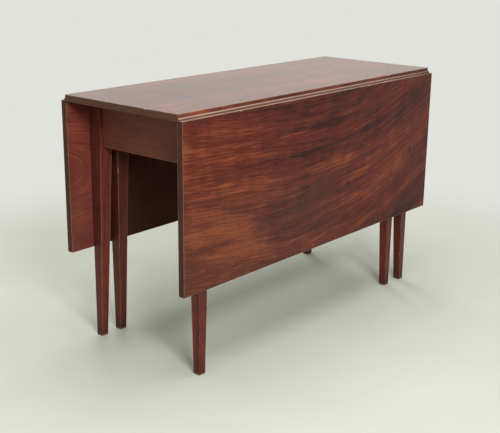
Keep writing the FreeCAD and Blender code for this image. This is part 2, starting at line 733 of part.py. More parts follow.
def check_and_write():
    """Stops on any failed object or empty cut, then writes each piece to its own file."""
    doc.recompute()
    failed = [item.Label for item in doc.Objects if {"Invalid", "Error"} & set(item.State)]
    cuts = [(item, item.BaseFeature) for item in doc.findObjects("PartDesign::Pocket")]
    cuts += [(item, item.Base) for item in doc.findObjects("Part::Cut")]
    idle = [item.Label for item, base in cuts if item.Shape.Volume >= base.Shape.Volume]
    broken = [item.Label for item in pieces if item.Shape.isNull() or not item.Shape.isValid()]
    if failed or idle or broken:
        raise RuntimeError(f"failed {failed}, cut nothing {idle}, not valid {broken}")
    os.makedirs("parts", exist_ok=True)
    for piece in pieces:
        piece.Shape.exportStep(f"parts/{piece.Label}.step")
        print(piece.Label, len(piece.Shape.Solids), round(piece.Shape.Volume))


SCREWS = {kind: screw_form(kind) for kind in SCREW_KINDS}
SCREW_ROOMS = {kind: screw_form(kind, "Sizes.screw_fit", "Sizes.screw_fit") for kind in SCREW_KINDS}
corner_leg("left_back_leg", BACKWARD, SIDES["back"])
corner_leg("right_back_leg", FORWARD, SIDES["back"])
corner_leg("right_front_leg", BACKWARD, SIDES["front"])
corner_leg("left_front_leg", FORWARD, SIDES["front"])
for end_name in ENDS:
    end_rail(end_name)
    end_glue_block(end_name)
rooms_in_top = [room for side_name in SIDES for room in build_side(side_name)]
top_board(rooms_in_top)
check_and_write()
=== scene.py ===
"""A studio view of an old mahogany table with two drop leaves and two swing legs."""

import logging
from dataclasses import dataclass
from enum import Enum
from functools import reduce
from operator import add
from typing import ClassVar, Union

import bmesh
import bpy
import numpy as np
from mathutils import Matrix, Vector


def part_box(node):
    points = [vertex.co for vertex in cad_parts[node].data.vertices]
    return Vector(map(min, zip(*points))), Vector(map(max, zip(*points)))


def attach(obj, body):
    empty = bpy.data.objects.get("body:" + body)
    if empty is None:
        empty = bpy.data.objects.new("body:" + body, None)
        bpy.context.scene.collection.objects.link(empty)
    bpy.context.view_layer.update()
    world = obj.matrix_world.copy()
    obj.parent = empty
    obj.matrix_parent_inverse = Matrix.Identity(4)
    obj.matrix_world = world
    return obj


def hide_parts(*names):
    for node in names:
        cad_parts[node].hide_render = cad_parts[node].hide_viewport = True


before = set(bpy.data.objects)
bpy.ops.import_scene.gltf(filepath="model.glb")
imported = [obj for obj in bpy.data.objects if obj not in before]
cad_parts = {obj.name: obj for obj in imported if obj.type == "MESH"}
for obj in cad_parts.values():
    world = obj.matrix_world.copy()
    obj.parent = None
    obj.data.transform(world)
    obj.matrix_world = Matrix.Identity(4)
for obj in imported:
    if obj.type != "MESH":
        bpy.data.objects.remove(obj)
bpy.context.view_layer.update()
LOG = logging.getLogger("table")

Colour = tuple[float, float, float, float]
Triple = tuple[float, float, float]
Span = tuple[float, float]
Number = Union[float, "Value"]
Tint = Union[Colour, bpy.types.NodeSocket]

ENDS = ("left", "right")
SIDES = ("front", "back")

# Depths under a face, in metres, at which a mask of it begins and is full
FACE: Span = (0.0008, 0.0002)

# Points closer than this are joined, and edges shorter than this taken out, in metres
WELD = 1e-6
SLIVER = 1e-7


def shade(red: int, green: int, blue: int) -> Colour:
    """Turns a colour as seen on a screen into the linear colour of a shader, by the sRGB curve.

    Args:
        red, green, blue: Parts of the colour, from 0 to 255.

    Returns:
        The linear colour with full alpha.
    """
    parts = np.array((red, green, blue)) / 255
    linear = np.where(parts <= 0.04045, parts / 12.92, ((parts + 0.055) / 1.055) ** 2.4)
    return (*(float(part) for part in linear), 1.0)


class Value:
    """A number that varies over a surface, held in the output socket of a node."""

    def __init__(self, nodes: "Nodes", socket: bpy.types.NodeSocket) -> None:
        """Keeps the tree and the socket that the number comes from."""
        self.nodes = nodes
        self.socket = socket

    def __add__(self, other: Number) -> "Value":
        """Sum."""
        return self.nodes.math("ADD", self, other)

    def __radd__(self, other: Number) -> "Value":
        """Sum, with the value on the right."""
        return self.nodes.math("ADD", other, self)

    def __sub__(self, other: Number) -> "Value":
        """Difference."""
        return self.nodes.math("SUBTRACT", self, other)

    def __rsub__(self, other: Number) -> "Value":
        """Difference, with the value on the right."""
        return self.nodes.math("SUBTRACT", other, self)

    def __mul__(self, other: Number) -> "Value":
        """Product."""
        return self.nodes.math("MULTIPLY", self, other)

    def __rmul__(self, other: Number) -> "Value":
        """Product, with the value on the right."""
        return self.nodes.math("MULTIPLY", other, self)

    def __truediv__(self, other: Number) -> "Value":
        """Quotient."""
        return self.nodes.math("DIVIDE", self, other)

    def __pow__(self, other: Number) -> "Value":
        """Power."""
        return self.nodes.math("POWER", self, other)

    def __abs__(self) -> "Value":
        """Size without the sign."""
        return self.nodes.math("ABSOLUTE", self)

    def least(self, other: Number) -> "Value":
        """The smaller of two values."""
        return self.nodes.math("MINIMUM", self, other)

    def most(self, other: Number) -> "Value":
        """The larger of two values."""
        return self.nodes.math("MAXIMUM", self, other)

    def rise(self, low: float, high: float) -> "Value":
        """Smooth step from 0 at low to 1 at high, or down where low is the larger."""
        node = self.nodes.add("ShaderNodeMapRange", {"interpolation_type": "SMOOTHSTEP"},
                              {"Value": self, "From Min": low, "From Max": high})
        return Value(self.nodes, node.outputs[0])


class Nodes:
    """Adds nodes to the tree of one material or world."""

    NOISE_MIDDLE: ClassVar[float] = 0.5
    NOISE_GAIN: ClassVar[float] = 3.0

    def __init__(self, tree: bpy.types.NodeTree) -> None:
        """Empties the tree and keeps it."""
        tree.nodes.clear()
        self.tree = tree

    def add(self, kind: str, settings: dict | None = None, sockets: dict | None = None) -> bpy.types.Node:
        """Adds one node.

        Args:
            kind: Type name of the node.
            settings: The node's own settings, set before its sockets.
            sockets: Numbers, colours or links for its inputs, by name or place.

        Returns:
            The new node.
        """
        node = self.tree.nodes.new(kind)
        for name, setting in (settings or {}).items():
            setattr(node, name, setting)
        for name, given in (sockets or {}).items():
            source = given.socket if isinstance(given, Value) else given
            if isinstance(source, bpy.types.NodeSocket):
                self.tree.links.new(source, node.inputs[name])
            else:
                node.inputs[name].default_value = source
        return node

    def math(self, operation: str, *given: Number) -> Value:
        """Adds one Math node and returns its result."""
        node = self.add("ShaderNodeMath", {"operation": operation}, dict(enumerate(given)))
        return Value(self, node.outputs[0])

    def point(self, x: Number, y: Number, z: Number) -> bpy.types.NodeSocket:
        """Joins three numbers into a place in a pattern."""
        return self.add("ShaderNodeCombineXYZ", None, {"X": x, "Y": y, "Z": z}).outputs[0]

    def noise(self, place: bpy.types.NodeSocket, detail: float, roughness: float = 0.5) -> Value:
        """Soft noise from about -1 to 1 at a place in a pattern."""
        node = self.add("ShaderNodeTexNoise", {"noise_dimensions": "3D"},
                        {"Vector": place, "Scale": 1.0, "Detail": detail, "Roughness": roughness})
        return (Value(self, node.outputs[0]) - self.NOISE_MIDDLE) * self.NOISE_GAIN

    def mix(self, amount: Number, first: Tint, second: Tint) -> bpy.types.NodeSocket:
        """Mixes two colours by an amount from 0 to 1, by the places of a Mix node's colour sockets."""
        node = self.add("ShaderNodeMix", {"data_type": "RGBA"}, {0: amount, 6: first, 7: second})
        return node.outputs[2]

    def seen(self) -> Value:
        """One for rays from the camera, mirrored or through glass, which show the pale backdrop."""
        path = self.add("ShaderNodeLightPath").outputs
        straight = Value(self, path["Is Camera Ray"]).most(Value(self, path["Is Glossy Ray"]))
        return straight.most(Value(self, path["Is Transmission Ray"]))


@dataclass(frozen=True)
class Cloud:
    """Noise of the same size every way: waves to the metre, octaves and their roughness, mean and spread."""

    scale: float
    detail: float = 3.0
    roughness: float = 0.5
    mean: float = 0.0
    spread: float = 1.0


class Surface:
    """A material worked up on a piece's own coordinates."""

    def __init__(self, name: str) -> None:
        """Starts an empty material and takes the piece's coordinates apart."""
        self.material = bpy.data.materials.new(name)
        self.material.use_nodes = True
        self.nodes = Nodes(self.material.node_tree)
        self.place = self.nodes.add("ShaderNodeTexCoord").outputs["Object"]
        parts = self.nodes.add("ShaderNodeSeparateXYZ", None, {"Vector": self.place}).outputs
        self.axes = {axis: Value(self.nodes, parts[axis]) for axis in "XYZ"}

    def cloud(self, cloud: Cloud) -> Value:
        """Noise of the same size every way, within about its spread of its mean."""
        scaled = self.nodes.add("ShaderNodeVectorMath", {"operation": "SCALE"},
                                {0: self.place, "Scale": cloud.scale})
        noise = self.nodes.noise(scaled.outputs[0], cloud.detail, cloud.roughness)
        return cloud.mean + noise * cloud.spread

    def close(self, shader: bpy.types.Node) -> bpy.types.Material:
        """Joins a shader to the material's output and returns the material."""
        self.nodes.add("ShaderNodeOutputMaterial", None, {"Surface": shader.outputs[0]})
        return self.material


class Lay(Enum):
    """How a board lies: the axes along its grain, across its face and through it."""

    FLAT = "XYZ"
    HANGING = "XZY"
    CROSSWISE = "YZX"
    STANDING = "ZXY"


# Dark aged wood, also laid on as painted shade on inner faces and on legs.
AGED_AND_SHADED = shade(50, 30, 24)
GRIME = shade(104, 82, 66)
ROSY = shade(126, 64, 58)
# Painted reflection: the pale floor as mirrored low on a hanging leaf.
FLOOR_REFLECTION_TINT = shade(78, 60, 51)
DUST = shade(158, 136, 110)


@dataclass(frozen=True)
class Wood:
    """Tones and polish of one timber in one place on the table."""

    dark: Colour
    middle: Colour
    light: Colour
    # Pale bare wood, for rubbed polish and for painted highlights along arrises and joints.
    bare: Colour
    roughness: float
    specular: float
    contrast: float
    end: Colour = AGED_AND_SHADED
    coat: float = 0.0


POLISHED_TOP = Wood(dark=shade(60, 24, 17), middle=shade(98, 43, 30), light=shade(140, 72, 44),
                    bare=shade(192, 178, 160), end=shade(78, 56, 40),
                    roughness=0.32, specular=0.16, contrast=1.35, coat=0.86)
FIGURED_LEAF = Wood(dark=shade(41, 17, 14), middle=shade(88, 35, 25), light=shade(137, 68, 39),
                    bare=shade(188, 172, 152), end=shade(62, 46, 38),
                    roughness=0.46, specular=0.08, contrast=1.15, coat=0.26)
ARCHED_LEAF = Wood(dark=shade(46, 18, 15), middle=shade(96, 40, 30), light=shade(138, 70, 44),
                   bare=shade(184, 160, 140), end=shade(60, 50, 38),
                   roughness=0.46, specular=0.08, contrast=1.25, coat=0.3)
LEG_WOOD = Wood(dark=shade(60, 23, 18), middle=shade(99, 43, 33), light=shade(124, 62, 46),
                bare=shade(164, 112, 88), roughness=0.42, specular=0.2, contrast=1.0)
RAIL_WOOD = Wood(dark=shade(66, 32, 22), middle=shade(102, 54, 39), light=shade(124, 70, 48),
                 bare=shade(150, 104, 80), roughness=0.5, specular=0.2, contrast=0.9)
SAWN_WOOD = Wood(dark=shade(86, 58, 38), middle=shade(126, 92, 62), light=shade(154, 118, 82),
                 bare=shade(176, 142, 106), roughness=0.75, specular=0.15, contrast=0.7)


@dataclass(frozen=True)
class Layer:
    """One size of line in the grain: waves to the metre each way, octaves, shift and share of the tone."""

    along: float
    across: float
    detail: float
    shift: float = 0.0
    share: float = 0.0


DRIFT = Layer(2.2, 5.0, 1.0)
BROAD = Layer(1.3, 10.0, 3.0, 0.0, 0.28)
BANDS = Layer(2.8, 50.0, 4.0, 7.3, 0.22)
STREAKS = Layer(7.5, 170.0, 4.0, 5.5, 0.20)
FIBRE = Layer(17.0, 430.0, 2.0, 3.1, 0.32)
MOTTLE = Layer(24.0, 13.0, 2.0, 11.7, 0.12)
PORES = Layer(70.0, 1300.0, 0.0, 1.9)
END_PORES = Layer(20.0, 700.0, 1.0)


@dataclass(frozen=True)
class Mark:
    """A cloud, knot or pale patch in a board: where it is, how big, and how much it shifts the tone."""

    along: float
    across: float
    length: float
    width: float
    tone: float


@dataclass(frozen=True)
class RubbingAndHighlight:
    """How an arris is worn: a pale line, partly rubbed polish and partly a painted highlight, broken along
    its length, with a few nicks.

    The width is in metres, and the core, the raggedness and the reach of the nicks are shares of it.
    """

    width: float
    amount: float
    core: float = 0.25
    ragged: float = 0.45
    breaks: Cloud = Cloud(60.0, 3.0, 0.65)
    nicks: Cloud = Cloud(34.0, 1.0)
    nick_edge: Span = (0.62, 0.75)
    nick_reach: Span = (1.6, 0.8)
    nick_amount: float = 0.8


class WoodSurface(Surface):
    """Colour, roughness and relief of one wooden piece, worked up step by step."""

    # Tone from 0 to 1, and where one colour of the wood passes into the next
    MID_TONE: ClassVar[float] = 0.5
    DARK_TO_MIDDLE: ClassVar[Span] = (0.05, 0.52)
    MIDDLE_TO_LIGHT: ClassVar[Span] = (0.48, 1.0)
    GRAIN_ROUGHNESS: ClassVar[float] = 0.55

    # Open pores: where noise makes one, how dark and rough it is, and the relief of the fibres beside it
    PORE_EDGE: ClassVar[Span] = (0.35, 0.75)
    PORE_STAIN: ClassVar[float] = 0.5
    PORE_ROUGHNESS: ClassVar[float] = 0.1
    BAND_ROUGHNESS: ClassVar[float] = 0.04
    FIBRE_HEIGHT: ClassVar[float] = 0.25

    # Marks: their ragged rim
    MARK_RIM: ClassVar[float] = 1.3
    RAGGED_BANDS: ClassVar[float] = 0.3
    RAGGED_STREAKS: ClassVar[float] = 0.25

    # How much rougher worn and dull wood is
    WORN_ROUGHNESS: ClassVar[float] = 0.2
    DULL_ROUGHNESS: ClassVar[float] = 0.25

    # Worn strips along the joints, partly painted highlights: uneven, and less at the far end
    STRIP_BLOTCH: ClassVar[Cloud] = Cloud(9.0, mean=0.7, spread=0.2)
    STRIP_BANDS: ClassVar[float] = 0.4
    FAR_END: ClassVar[Span] = (0.58, 0.44)
    FAR_SHARE: ClassVar[float] = 0.3

    # End grain: its depth, stain and open pores, and paler blotches
    END_FACE: ClassVar[Span] = (0.0009, 0.0003)
    END_STAIN: ClassVar[float] = 0.82
    END_DOTS: ClassVar[float] = 0.1
    END_BLOTCH: ClassVar[Cloud] = Cloud(26.0)
    BLOTCH_EDGE: ClassVar[Span] = (0.0, 0.8)
    BLOTCH_SPARED: ClassVar[float] = 0.3
    END_ROUGHNESS: ClassVar[float] = 0.18

    # Shader: eased arris and relief in metres, and the coat of polish
    EASED: ClassVar[float] = 0.0012
    EASED_SAMPLES: ClassVar[int] = 4
    RELIEF: ClassVar[float] = 0.0003
    RELIEF_STRENGTH: ClassVar[float] = 0.25
    COAT_ROUGHNESS: ClassVar[float] = 0.2
    COAT_IOR: ClassVar[float] = 1.25

    def __init__(self, name: str, wood: Wood, lay: Lay, seed: float) -> None:
        """Starts a wooden surface.

        Args:
            name: Name of the material.
            wood: Its tones and polish.
            lay: How the board lies.
            seed: Shifts the pattern, so that no two boards match.
        """
        super().__init__(name)
        self.wood = wood
        self.seed = seed
        self.along, self.across, self.through = (self.axes[axis] for axis in lay.value)
        self.grain = self.across
        self.coat: Number = wood.coat

    def pattern(self, layer: Layer) -> Value:
        """Noise drawn out along the grain.

        Args:
            layer: How fine it is each way.

        Returns:
            The noise, about -1 to 1.
        """
        place = self.nodes.point(self.along * layer.along + (self.seed + layer.shift),
                                 self.grain * layer.across, self.through * layer.across + self.seed)
        return self.nodes.noise(place, layer.detail, self.GRAIN_ROUGHNESS)

    def figure(self, wander: float, grain: Number | None = None, lively: Number = 1.0,
               marks: tuple[tuple[Mark, float], ...] = ()) -> None:
        """Lays down the grain: broad bands, streaks, fibres, pores, a faint cross mottle and marks.

        Args:
            wander: How far the grain wanders, in metres.
            grain: Place across the grain where it runs in a curve, in metres.
            lively: How strongly the streaks stand out.
            marks: The board's marks, each with its place across the grain.
        """
        place = self.nodes.point(self.along * DRIFT.along + self.seed, self.across * DRIFT.across,
                                 self.through * DRIFT.across)
        drift = self.nodes.noise(place, DRIFT.detail)
        self.grain = (self.across if grain is None else grain) + drift * wander
        noises = {layer: self.pattern(layer) for layer in (BROAD, BANDS, STREAKS, FIBRE, MOTTLE)}
        self.bands, self.streaks = noises[BANDS], noises[STREAKS]
        pores = self.pattern(PORES).rise(*self.PORE_EDGE)
        lines = reduce(add, (noise * layer.share for layer, noise in noises.items()))
        tone = self.MID_TONE + lively * (self.wood.contrast * lines)
        for mark, across in marks:
            tone = tone + self.oval(mark, across) * mark.tone
        low = self.nodes.mix(tone.rise(*self.DARK_TO_MIDDLE), self.wood.dark, self.wood.middle)
        self.colour = self.nodes.mix(tone.rise(*self.MIDDLE_TO_LIGHT), low, self.wood.light)
        self.lay_colour(pores * self.PORE_STAIN, self.wood.dark)
        self.rough = self.wood.roughness + self.bands * self.BAND_ROUGHNESS + pores * self.PORE_ROUGHNESS
        self.height = noises[FIBRE] * self.FIBRE_HEIGHT - pores

    def oval(self, mark: Mark, across: float) -> Value:
        """Mask of a mark: an oval drawn out along the grain, with ragged ends.

        Args:
            mark: The mark.
            across: Its place across the grain, in metres.

        Returns:
            One in the middle, falling to zero at the rim.
        """
        along = (self.along - mark.along) / mark.length
        aside = (self.grain - across) / mark.width
        ragged = along * along + aside * aside + self.bands * self.RAGGED_BANDS
        return (ragged + self.streaks * self.RAGGED_STREAKS).rise(self.MARK_RIM, 0.0)

    def lay_colour(self, mask: Number, colour: Tint) -> None:
        """Lays a colour over the surface where a mask says."""
        self.colour = self.nodes.mix(mask, self.colour, colour)

    def pale_and_dull(self, mask: Value, amount: float) -> None:
        """Makes the wood paler and duller where a mask says: polish rubbed away, and along arrises and
        joints partly a painted highlight.
        """
        self.lay_colour(mask * amount, self.wood.bare)
        self.rough = self.rough + mask * (self.WORN_ROUGHNESS * amount)

    def leave_dull(self, mask: Value, colour: Colour, amount: float) -> None:
        """Leaves a face unpolished and darker where a mask says: darkened by age and hands, and in some
        places by painted shade.
        """
        self.lay_colour(mask * amount, colour)
        self.rough = self.rough + mask * (self.DULL_ROUGHNESS * amount)

    def to_arris(self, low: Vector, high: Vector) -> Value:
        """Distance to the nearest arris of a square-edged board.

        It is the middle one of the distances to the nearest face along each axis.

        Args:
            low, high: Corners of the board.

        Returns:
            The distance, in metres.
        """
        near = [(self.axes[axis] - low[i]).least(high[i] - self.axes[axis]) for i, axis in enumerate("XYZ")]
        return near[0].least(near[1]).most(near[0].most(near[1]).least(near[2]))

    def rub_and_highlight(self, distance: Value, rubbing: RubbingAndHighlight) -> None:
        """Wears a pale line along an arris, partly a painted highlight, broken up by noise, with a few pale
        nicks.

        Args:
            distance: Distance to the arris, in metres.
            rubbing: How the arris is worn.
        """
        width = rubbing.width
        broken = self.cloud(rubbing.breaks)
        # The pale line is partly a painted highlight along the sharp arris.
        line = (distance + broken * (width * rubbing.ragged)).rise(width, width * rubbing.core)
        self.pale_and_dull(line, rubbing.amount)
        far, near = rubbing.nick_reach
        nicks = self.cloud(rubbing.nicks).rise(*rubbing.nick_edge)
        self.pale_and_dull(nicks * distance.rise(width * far, width * near), rubbing.nick_amount)

    def wear_and_highlight_strip(self, strip: Value, amount: float) -> None:
        """Wears a pale strip along a joint, partly as a painted highlight, unevenly, and less towards its
        far end.

        Args:
            strip: Mask of the strip.
            amount: How far it is worn.
        """
        uneven = self.cloud(self.STRIP_BLOTCH) + self.bands * self.STRIP_BANDS
        spared = self.FAR_SHARE + (1.0 - self.FAR_SHARE) * self.along.rise(*self.FAR_END)
        self.pale_and_dull(strip * uneven * spared, amount)

    def end_grain(self, low: float, high: float) -> None:
        """Darkens and dulls the two ends of a board, where the pores stand open.

        Args:
            low, high: Where the board ends, along the grain.
        """
        ends = (self.along - low).least(high - self.along).rise(*self.END_FACE)
        place = self.nodes.point(self.along * END_PORES.along, self.across * END_PORES.across,
                                 self.through * END_PORES.across)
        dots = self.nodes.noise(place, END_PORES.detail)
        blotch = self.cloud(self.END_BLOTCH).rise(*self.BLOTCH_EDGE)
        stained = self.END_STAIN + dots * self.END_DOTS - blotch * self.BLOTCH_SPARED
        self.lay_colour(ends * stained, self.wood.end)
        self.rough = self.rough + ends * self.END_ROUGHNESS

    def finish(self) -> bpy.types.Material:
        """Joins colour, roughness and relief in one shader, with the arrises eased."""
        eased = self.nodes.add("ShaderNodeBevel", {"samples": self.EASED_SAMPLES}, {"Radius": self.EASED})
        bump = self.nodes.add("ShaderNodeBump", None, {
            "Strength": self.RELIEF_STRENGTH, "Distance": self.RELIEF,
            "Height": self.height, "Normal": eased.outputs[0],
        })
        return self.close(self.nodes.add("ShaderNodeBsdfPrincipled", None, {
            "Base Color": self.colour, "Roughness": self.rough, "Normal": bump.outputs[0],
            "Specular IOR Level": self.wood.specular, "Coat Weight": self.coat,
            "Coat Roughness": self.COAT_ROUGHNESS, "Coat IOR": self.COAT_IOR,
        }))


def put_on(name: str, material: bpy.types.Material) -> None:
    """Gives a CAD node its material and reports the piece.

    Args:
        name: Name of the node.
        material: Its material.
    """
    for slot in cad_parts[name].material_slots:
        slot.material = material
    LOG.info("dressed %s with %s", name, material.name)


@dataclass
class FixedTop:
    """The middle board of the top, with the round of a rule joint along both sides.

    The crown is given in shares of the round's radius, and the other lengths in metres.
    """

    node: str = "top_board"
    seed: float = 2.0
    wander: float = 0.02
    fillet: float = 0.213
    past_fillet: Span = (0.0001, 0.0004)
    joint_height: float = 0.7078
    joint_radius: float = 0.0062
    crown: Span = (0.55, 0.75)
    polished_face: Span = (0.0012, 0.0004)
    underside_age: float = 0.7
    joint_grime: float = 0.5
    joint_wear_and_highlight: float = 0.6
    arris: RubbingAndHighlight = RubbingAndHighlight(width=0.0018, amount=0.4)
    marks: tuple[Mark, ...] = (
        Mark(-0.36, -0.100, 0.26, 0.018, 0.22),
        Mark(-0.10, 0.060, 0.40, 0.030, -0.12),
        Mark(0.25, -0.020, 0.35, 0.040, 0.10),
    )

    def dress(self) -> None:
        """Polishes the upper face, leaves the underside dull and wears the round pale, partly as a painted
        highlight.
        """
        surface = WoodSurface("polished_top", POLISHED_TOP, Lay.FLAT, self.seed)
        surface.figure(self.wander, marks=tuple((mark, mark.across) for mark in self.marks))
        low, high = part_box(self.node)
        x, y, z = (surface.axes[axis] for axis in "XYZ")
        surface.end_grain(low.x, high.x)
        surface.leave_dull((z - low.z).rise(*FACE), AGED_AND_SHADED, self.underside_age)
        crown = (z - self.joint_height).rise(*(self.joint_radius * share for share in self.crown))
        beyond = (abs(y) - self.fillet).rise(*self.past_fillet)
        surface.leave_dull(beyond, GRIME, self.joint_grime)
        # Pale strip on the crown of the round: partly worn, partly a painted highlight where the round
        # catches the light.
        surface.wear_and_highlight_strip(beyond * crown, self.joint_wear_and_highlight)
        edge = (self.fillet - abs(y)).least(high.x - abs(x)).most(high.z - z)
        surface.rub_and_highlight(edge, self.arris)
        surface.coat = (high.z - z).rise(*self.polished_face) * POLISHED_TOP.coat
        put_on(self.node, surface.finish())


class Cut(Enum):
    """How a leaf's board was cut: its grain swept up in a curve, or in arches from one end."""

    SWEPT = "swept"
    ARCHED = "arched"


@dataclass
class DropLeaf:
    """One hanging leaf.

    Spans give where a change begins and where it is complete, in metres along, up or under the edge of
    the leaf. The mottle's span is one of its noise.
    """

    side: str
    wood: Wood
    seed: float
    cut: Cut
    turn: float
    sag: float = 0.0
    fan: float = 0.0
    heart: float = 0.0
    slender: float = 0.25
    wander: float = 0.010
    lively: float = 0.95
    livelier: float = 0.05
    livelier_towards: Span = (0.25, -0.4)
    # Painted reflection of the pale floor on the lower part of the leaf: how strong, how blotchy, and where
    # it begins and ends.
    floor_reflection: float = 0.32
    reflection_blotch: Cloud = Cloud(5.0, mean=0.8, spread=0.3)
    reflection_below: Span = (0.58, 0.38)
    reflection_towards: Span = (0.25, -0.1)
    rosy: float = 0.42
    mottled: float = 0.4
    mottle: Cloud = Cloud(14.0, 4.0, 0.6)
    mottle_edge: Span = (-0.2, 0.9)
    # Painted shade on the middle of the inner face, and where it fades out along the leaf.
    inner_painted_shade: float = 0.8
    painted_shade_within: Span = (0.51, 0.40)
    upper_edge: Span = (0.0007, 0.0002)
    joint_wear_and_highlight: float = 0.55
    arris: RubbingAndHighlight = RubbingAndHighlight(width=0.0016, amount=0.24)
    marks: tuple[Mark, ...] = ()

    def grain_at(self, along: Number, across: Number) -> Number:
        """Place across the grain.

        Swept grain hangs in a curve, a square and a cube of the distance from its turn. Arched grain
        runs in ovals about a heart.

        Args:
            along, across: Place on the leaf, in metres.

        Returns:
            The place across the grain, in metres.
        """
        reach = along - self.turn
        if self.cut is Cut.SWEPT:
            return across - reach * reach * (self.sag + self.fan * reach)
        height = across - self.heart
        return (reach * reach * (self.slender * self.slender) + height * height) ** 0.5

    def dress(self) -> None:
        """Figures and marks the leaf, paints a reflection of the pale floor low down, polishes its outer
        face and wears its edges pale, partly as painted highlights.
        """
        node = f"{self.side}_leaf"
        surface = WoodSurface(f"figured_{node}", self.wood, Lay.HANGING, self.seed)
        lively = self.lively + self.livelier * surface.along.rise(*self.livelier_towards)
        marks = tuple((mark, self.grain_at(mark.along, mark.across)) for mark in self.marks)
        surface.figure(self.wander, self.grain_at(surface.along, surface.across), lively, marks)
        low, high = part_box(node)
        # Painted reflection of the pale floor over the lower part of the leaf, towards its near end.
        reflected_floor = surface.across.rise(*self.reflection_below) * surface.along.rise(*self.reflection_towards)
        surface.lay_colour(reflected_floor * surface.cloud(self.reflection_blotch) * self.floor_reflection, FLOOR_REFLECTION_TINT)
        surface.end_grain(low.x, high.x)
        inner_y, outer_y = sorted((abs(low.y), abs(high.y)))
        self.age(surface, (abs(surface.through) - inner_y).rise(*FACE))
        surface.rub_and_highlight(surface.to_arris(low, high), self.arris)
        surface.coat = (outer_y - abs(surface.through)).rise(*FACE) * self.wood.coat
        # Pale strip along the leaf's upper edge: partly worn, partly a painted highlight.
        surface.wear_and_highlight_strip((high.z - surface.across).rise(*self.upper_edge), self.joint_wear_and_highlight)
        put_on(node, surface.finish())

    def age(self, surface: WoodSurface, inner: Value) -> None:
        """Leaves the leaf's inner face unpolished, rosy and mottled, and paints shade on its middle, where
        the frame hides it.

        Args:
            surface: The leaf's surface.
            inner: Mask of the inner face.
        """
        surface.leave_dull(inner, ROSY, self.rosy)
        mottle = surface.cloud(self.mottle).rise(*self.mottle_edge)
        surface.leave_dull(inner * mottle, AGED_AND_SHADED, self.mottled)
        # Painted shade: the middle of the inner face, within the frame, darkened as though in shadow.
        surface.leave_dull(inner * abs(surface.along).rise(*self.painted_shade_within), AGED_AND_SHADED, self.inner_painted_shade)


class Taper(Enum):
    """Which faces of a leg taper: the two inner ones, or the inner one and both sides."""

    TWO_FACES = "two"
    THREE_FACES = "three"


@dataclass
class TaperedLeg:
    """A square leg that tapers below the rails, with lengths in metres."""

    node: str
    seed: float
    taper: Taper
    darkened: float = 0.0
    painted_shade_end: float = 0.0
    top: float = 0.042
    foot: float = 0.022
    taper_from: float = 0.572
    rail_blend: float = 0.02
    sheltered: float = 0.0014
    wander: float = 0.004
    end_face: Span = (0.0006, 0.0002)
    arris: RubbingAndHighlight = RubbingAndHighlight(width=0.0020, amount=0.5)
    dark_foot: Span = (0.08, 0.0)
    foot_blotch: Cloud = Cloud(120.0, mean=0.8, spread=0.3)
    foot_age: float = 0.65
    dusty_rim: Span = (0.006, 0.001)
    rim_blotch: Cloud = Cloud(120.0, mean=0.7, spread=0.4)
    rim_dust: float = 0.6

    def to_arris(self, surface: WoodSurface, outer_x: float) -> Value:
        """Distance to the nearest of the leg's four long arrises.

        The leg's width falls in a straight line from the rails to the foot. Beside the rails and behind
        the leaf, where little rubs, the distance is made longer.

        Args:
            surface: The leg's surface.
            outer_x: Place of its outer end face.

        Returns:
            The distance, in metres.
        """
        x, y, z = (surface.axes[axis] for axis in "XYZ")
        low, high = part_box(self.node)
        width = self.foot + (self.top - self.foot) * (z / self.taper_from).least(1.0)
        depth = abs(y - max(low.y, high.y, key=abs))
        beside_rails = z.rise(self.taper_from - self.rail_blend, self.taper_from + self.rail_blend)
        inwards = (depth + self.sheltered).least(width - depth + beside_rails * self.sheltered)
        if self.taper is Taper.THREE_FACES:
            return inwards.most(width * 0.5 - abs(x - (low.x + high.x) / 2))
        side = abs(x - outer_x)
        return inwards.most(side.least(width - side))

    def dress(self) -> None:
        """Polishes the leg, paints shade on it where asked, wears its arrises, and darkens its foot down to
        a dusty rim.
        """
        surface = WoodSurface(f"polished_{self.node}", LEG_WOOD, Lay.STANDING, self.seed)
        surface.figure(self.wander)
        low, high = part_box(self.node)
        outer_x = max(low.x, high.x, key=abs)
        # Darkens the whole leg evenly; on the back swing leg this is painted shade.
        if self.darkened:
            surface.lay_colour(self.darkened, AGED_AND_SHADED)
        # Painted shade: the leg's outer end face darkened, as though less light came from that end.
        if self.painted_shade_end:
            end = (abs(outer_x) - abs(surface.axes["X"])).rise(*self.end_face)
            surface.lay_colour(end * self.painted_shade_end, AGED_AND_SHADED)
        surface.rub_and_highlight(self.to_arris(surface, outer_x), self.arris)
        foot = surface.along.rise(*self.dark_foot) * surface.cloud(self.foot_blotch)
        surface.leave_dull(foot, AGED_AND_SHADED, self.foot_age)
        rim = surface.along.rise(*self.dusty_rim) * surface.cloud(self.rim_blotch)
        surface.leave_dull(rim, DUST, self.rim_dust)
        put_on(self.node, surface.finish())


